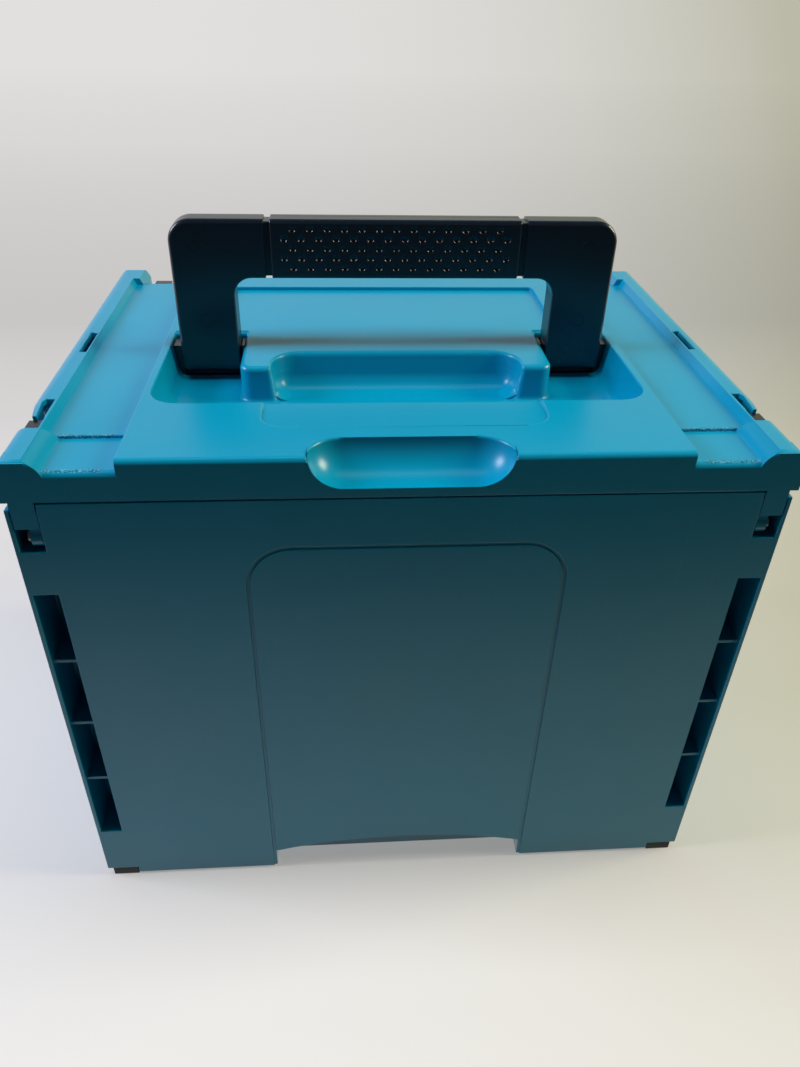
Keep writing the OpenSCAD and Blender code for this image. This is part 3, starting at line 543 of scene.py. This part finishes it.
def grip_cover(name, side):
    """Half of the grip with its dimples. side is 1 at the back, -1 at the front."""
    low_r, top_r = BAR_LOW_R, BAR_BACK_R if side > 0 else BAR_FRONT_R
    z0, z1 = BAR_TOP - BAR_HIGH, BAR_TOP
    face0, face1, rows, columns = z0 + low_r, z1 - top_r, 100, 460
    path = [(SEAM, z0), (BAR_HALF - low_r, z0)]
    path += [(BAR_HALF - low_r + c, z0 + low_r + s) for c, s in arc(low_r, -70, 0, 4)]
    path += [(BAR_HALF, face0 + (face1 - face0) * k / rows) for k in range(1, rows)]
    path += [(BAR_HALF - top_r + c, z1 - top_r + s) for c, s in arc(top_r, 0, 90, 8)] + [(SEAM, z1)]
    stations = [-GRIP_HALF + d for d in END_STEPS]
    stations += [-FIELD_HALF + 2 * FIELD_HALF * k / columns for k in range(columns + 1)]
    stations += [GRIP_HALF - d for d in reversed(END_STEPS)]
    rings = []
    for x in stations:
        back = fillet(GRIP_END_R, GRIP_HALF - abs(x))
        points = []
        for y, z in path:
            if y > BAR_HALF - 0.01 and abs(x) < DIMPLED_HALF:
                y -= dimple_depth(x, z)
            y = max(SEAM, y - back) if y > SEAM + 0.05 else y
            points.append((x, side * y, min(max(z, z0 + back), z1 - back)))
        rings.append(points)
    return skin(name, rings)


# Moulded rings on the back of the handle: x, z and radius, and how thick they all are
RING_THICK = 0.26
RINGS = ((114.3, 381.2, 4), (-113, 381.5, 4), (112, 338, 3.8), (-112.5, 338, 3.8),
         (-107, 320, 3.2), (-119.5, 320.5, 3.2))

handle = handle_frame()
sleeve = bar("groove_cutter", GROOVE_HALF, -4)
cut(sleeve, bar("groove_core", GROOVE_HALF + 4.4, GROOVE_DEEP))
cut(handle, sleeve)
rings = [torus(x, BAR_HALF, z, r, RING_THICK) for x, z, r in RINGS]
smooth(rounded(handle, 0.4, 2, 40), 35)
join(handle, [smooth(r, 60) for r in rings])
dress(handle, black, "handle", "black_plastic", "handle_frame")
dress(smooth(grip_cover("grip_cover_back", 1), 30), black, "handle", "black_plastic", "grip_back")
dress(smooth(grip_cover("grip_cover_front", -1), 30), black, "handle", "black_plastic", "grip_front")

# ---------------------------------------------------------------- bearing inserts, latches, feet and pins

def finger_ribs(p):
    """Level of the finger ribs near the top of a latch plate."""
    return 283 < p.z < 293.5


for side in ("left", "right"):
    # The bearing inserts are black parts in the wells under the handle's feet, and their black also stands in
    # for the shade in those wells as painted shade
    node = "handle_bearing_" + side
    insert = rounded(copy_of(node, "bearing_insert_" + side), 0.4)
    dress(smooth(insert), black, "lid_assembly", "black_plastic", node)
    for end in ("rear", "front"):
        node = f"latch_{end}_{side}"
        lever = rounded(copy_of(node, f"latch_lever_{end}_{side}"), 0.6, skip=finger_ribs)
        rounded(lever, 0.2, only=lambda e, mid: finger_ribs(mid))
        dress(smooth(lever), black, f"{end}_latch_{side}", "black_plastic", node)
        node = f"foot_{end}_{side}"
        pad = rounded(copy_of(node, f"foot_pad_{end}_{side}"), 0.6)
        dress(smooth(pad), dark_pad, "case_body", "foot_rubber", node)

# The pins and screws are shown as CAD made them
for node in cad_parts.values():
    if not node.hide_render:
        node.data.materials.clear()
        node.data.materials.append(steel)

# ---------------------------------------------------------------- floor and room

def sweep(n, across):
    """Colour of the pale sweep, with painted shade that makes it warmer and dimmer to the camera's right,
    where across falls.
    """
    right = n.math("POWER", n.remap(across, 0.3, -0.46, 0, 1), 2.6)
    return n.mix(right, srgb("#E4E2E1"), srgb("#BDBCAA"))


# Painted light and shade of the sweep along Y, from 5 m beyond the front of the case (0) to 0.3 m on the
# camera's side (1)
DEPTH_TONES = ((0.0, 0.98), (0.45, 0.9), (0.76, 0.75), (0.84, 0.76), (0.94, 0.95), (1.0, 1.0))


def floor_as_seen(n, x, y, away):
    """Floor as the camera sees it: the sweep with the painted light and shade of its depth, and plain far
    beside the case.
    """
    ramp = n.add("ValToRGB", {"Fac": n.remap(y, -5.0, 0.3, 0, 1)})
    stops = ramp.color_ramp.elements
    for k, (place, level) in enumerate(DEPTH_TONES):
        stop = stops[k] if k < 2 else stops.new(place)
        stop.position, stop.color = place, (level, level, level, 1)
    across = n.math("DIVIDE", n.math("SUBTRACT", x, 0.035), n.math("ADD", 1.0, away))
    beside = n.math("SUBTRACT", n.math("ABSOLUTE", x), n.times(n.math("ABSOLUTE", y), 0.6))
    return n.mix(n.remap(beside, 0.6, 1.4, 1, 0), sweep(n, across), ramp.outputs["Color"], "MULTIPLY")


def floor_as_mirrored(n, x, y, mirrored):
    """Floor as mirrored and bounced light meets it, all painted: grey, warmer to the right, and a painted
    shadow that darkens it before the back face.
    """
    near = n.mix(mirrored, srgb("#9C9B98"), srgb("#DCDBD8"))
    near = n.mix(n.times(mirrored, n.remap(x, 0.15, -0.3, 0, 1)), near, srgb("#C6C8B0"))
    # Painted shadow: dark before the back face, for reflections and bounced light
    return n.mix(n.remap(y, 0.33, 0.58, 0, 1), near, srgb("#2C2E30"))


def pale_floor():
    """Floor material: lit by the lamps near the case, and glowing by itself from far metres off. Where it is
    mirrored it glows near the case too: painted light in its reflections.
    """
    near, far = 0.25, 0.9
    n = Nodes(bpy.data.materials.new("pale_floor"))
    place = n.split(n.coords)
    x, y = place["X"], place["Y"]
    away = n.math("MAXIMUM", n.math("ABSOLUTE", y), n.math("SUBTRACT", n.math("ABSOLUTE", x), 0.6))
    ray = n.add("LightPath").outputs
    seen, mirrored = ray["Is Camera Ray"], ray["Is Glossy Ray"]
    colour = n.mix(seen, floor_as_mirrored(n, x, y, mirrored), floor_as_seen(n, x, y, away))
    n.surface({"Base Color": colour, "Roughness": 0.8, "Specular IOR Level": 0.1})
    strength = n.math("ADD", n.times(seen, n.remap(away, far, near, -0.2, 0.4)), 1.2)
    glow = n.add("Emission", {"Color": colour, "Strength": strength})
    # Mirrored rays see the floor mostly as glow: painted light in reflections
    share = n.math("MAXIMUM", n.times(seen, n.remap(away, far, near, 1.0, 0.25)), n.times(mirrored, 0.85))
    lit = n.tree.nodes["Principled BSDF"].outputs[0]
    both = n.add("MixShader", {0: share, 1: lit, 2: glow.outputs[0]})
    n.fill(n.tree.nodes["Material Output"], {"Surface": both.outputs[0]})
    n.owner.cycles.emission_sampling = "NONE"
    return n.owner


def room(world):
    """World: the camera sees the floor's own sweep in it, and mirrored light meets a room that is pale near
    the horizon behind the front of the case and dark overhead and on the camera's side. Other light gets
    almost nothing from it."""
    n = Nodes(world, "Generated")
    look = n.split(n.coords)
    ray = n.add("LightPath").outputs
    seen, mirrored = ray["Is Camera Ray"], ray["Is Glossy Ray"]
    height = n.remap(look["Z"], 0.5, 0.72, 1.0, 0.08)
    depth = n.remap(look["Y"], -0.1, 0.4, 0.72, 0.1)
    level = n.blend(seen, n.blend(mirrored, 0.02, n.times(height, depth)), 1.0)
    tint = n.mix(n.remap(look["X"], -0.5, 0.5, 0, 1), srgb("#DCDFBE"), srgb("#F4F4FA"))
    away = n.math("MAXIMUM", n.math("ABSOLUTE", look["Y"]), 0.01)
    sky = sweep(n, n.math("DIVIDE", look["X"], away))
    n.fill(n.tree.nodes["Background"], {"Color": n.mix(seen, tint, sky), "Strength": level})


bm = bmesh.new()
bmesh.ops.create_circle(bm, cap_ends=True, segments=96, radius=30)
floor = add("floor", bm)
floor.data.materials.append(pale_floor())

world = bpy.data.worlds.new("studio")
bpy.context.scene.world = world
room(world)

# ---------------------------------------------------------------- lamps and camera

def lamp(name, location, target, size, power, colour="#FFFFFF"):
    """Soft area light that faces a point."""
    data = bpy.data.lights.new(name, "AREA")
    data.shape, data.size, data.size_y = "RECTANGLE", size[0], size[1]
    data.energy, data.color = power, srgb(colour)[:3]
    obj = bpy.data.objects.new(name, data)
    bpy.context.scene.collection.objects.link(obj)
    obj.location = location
    obj.rotation_euler = (Vector(target) - Vector(location)).to_track_quat("-Z", "Y").to_euler()
    return obj


# The lamps at the sides stand at the left and right of the photo, which shows the case from behind
lamp("top", (0, -0.02, 1.9), (0, -0.02, 0), (1.5, 0.5), 15).visible_glossy = False
lamp("left", (1.75, 0.04, 1.2), (0, 0.1, 0.3), (0.75, 0.75), 28, "#E6EAFF")
lamp("right", (-1.75, 0.06, 1.15), (0, 0.1, 0.3), (0.75, 0.75), 28, "#FFF6CC")

# Fitted to the edges and corners of the case in the photo
cam_data = bpy.data.cameras.new("camera")
cam_data.lens, cam_data.sensor_width = 27.943, 36
cam = bpy.data.objects.new("camera", cam_data)
cam.location = (0.03504, 0.49336, 0.51489)
cam.rotation_euler = [math.radians(a) for a in (55.5505, -1.3655, 176.012)]
bpy.context.scene.collection.objects.link(cam)
bpy.context.scene.camera = cam
bpy.context.scene.view_settings.view_transform = "Standard"
